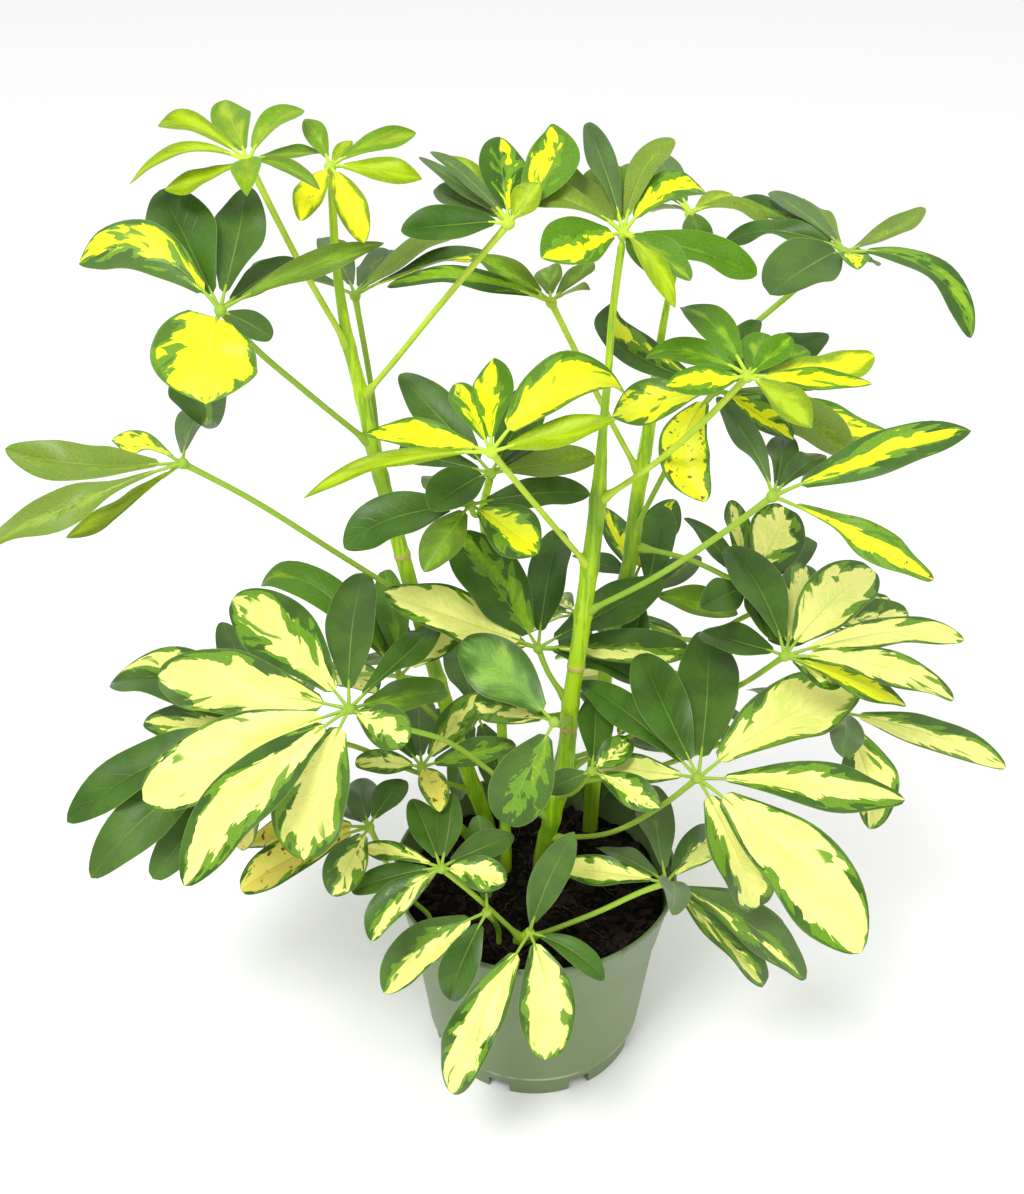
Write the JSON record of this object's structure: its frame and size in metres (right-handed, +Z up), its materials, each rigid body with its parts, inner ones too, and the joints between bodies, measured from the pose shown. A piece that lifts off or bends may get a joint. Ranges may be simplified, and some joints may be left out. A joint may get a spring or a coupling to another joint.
{
  "type": "potted umbrella plant",
  "caption": "House plant in a green nursery pot: slim stems carry variegated umbrella leaves, each a whorl of leaflets on a long stalk. Stands on a table or floor.",
  "frame": {"origin": "centre of the pot's underside, on the surface that it stands on", "axes": "+Z up, +Y away from the viewer of the picture, +X to the viewer's right"},
  "size_m": [0.4796, 0.313, 0.4999],
  "materials": {
    "pot_plastic": "satin, lightly scuffed",
    "potting_soil": "crumbly and damp",
    "stem_green": "smooth green bark",
    "leaf_variegated": "semi-gloss",
    "leaf_young": "semi-gloss"
  },
  "bodies": {
    "root": {"pot": "pot_plastic", "soil": "potting_soil", "stem_main": "stem_green", "stem_left": "stem_green", "stem_right": "stem_green", "stem_front": "stem_green", "stem_middle": "stem_green", "stem_low_left": "stem_green", "stem_back": "stem_green", "leaf_crown_left": "leaf_young", "leaf_crown_tip": "leaf_young", "leaf_upper_left": "leaf_variegated", "leaf_behind_left": "leaf_variegated", "leaf_crown_middle": "leaf_young", "leaf_crown_top": "leaf_young", "leaf_crown_back": "leaf_young", "leaf_upper_right": "leaf_variegated", "leaf_crown_right": "leaf_young", "leaf_right_front": "leaf_variegated", "leaf_right_fan": "leaf_young", "leaf_middle_fan": "leaf_young", "leaf_right_high": "leaf_variegated", "leaf_centre_front": "leaf_variegated", "leaf_centre_glossy": "leaf_variegated", "leaf_left_broad": "leaf_variegated", "leaf_low_right_broad": "leaf_variegated", "leaf_low_right": "leaf_variegated", "leaf_front_fan": "leaf_variegated", "leaf_front_drop": "leaf_variegated", "leaf_front_left": "leaf_variegated", "leaf_left_far": "leaf_variegated", "leaf_right_spray": "leaf_variegated", "leaf_left_under": "leaf_variegated", "leaf_left_inner": "leaf_variegated", "leaf_low_left": "leaf_variegated", "leaf_low_inner": "leaf_variegated", "leaf_middle_back": "leaf_variegated", "leaf_middle_tip": "leaf_variegated", "leaf_right_behind": "leaf_variegated", "leaf_right_long": "leaf_variegated", "leaf_right_middle": "leaf_variegated", "leaf_centre_right": "leaf_variegated", "leaf_centre_back": "leaf_variegated", "leaf_centre_low": "leaf_variegated", "leaf_back_left": "leaf_variegated", "leaf_back_top": "leaf_variegated", "leaf_back_middle": "leaf_variegated", "leaf_back_side": "leaf_variegated", "leaf_back_low": "leaf_variegated"}
  },
  "joints": []
}
